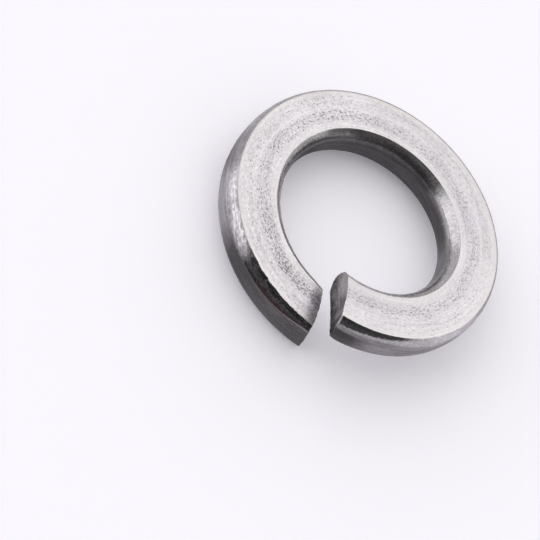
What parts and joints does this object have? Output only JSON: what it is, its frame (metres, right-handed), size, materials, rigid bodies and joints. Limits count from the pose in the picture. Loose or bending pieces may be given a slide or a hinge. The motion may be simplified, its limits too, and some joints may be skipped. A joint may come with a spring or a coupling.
{
  "type": "spring lock washer",
  "caption": "Split spring lock washer: one left-hand turn of rolled flat steel bar, sheared through and sprung open, that sits under a screw head or nut.",
  "frame": {"origin": "on the bore axis, level with the lowest point of the coil", "axes": "+Z along the bore axis, towards the screw head or nut; the split lies at -45 degrees, between +X and -Y"},
  "size_m": [0.0146, 0.0147, 0.0039],
  "materials": {
    "steel": "satin"
  },
  "bodies": {
    "root": {"lock_washer": "steel"}
  },
  "joints": []
}
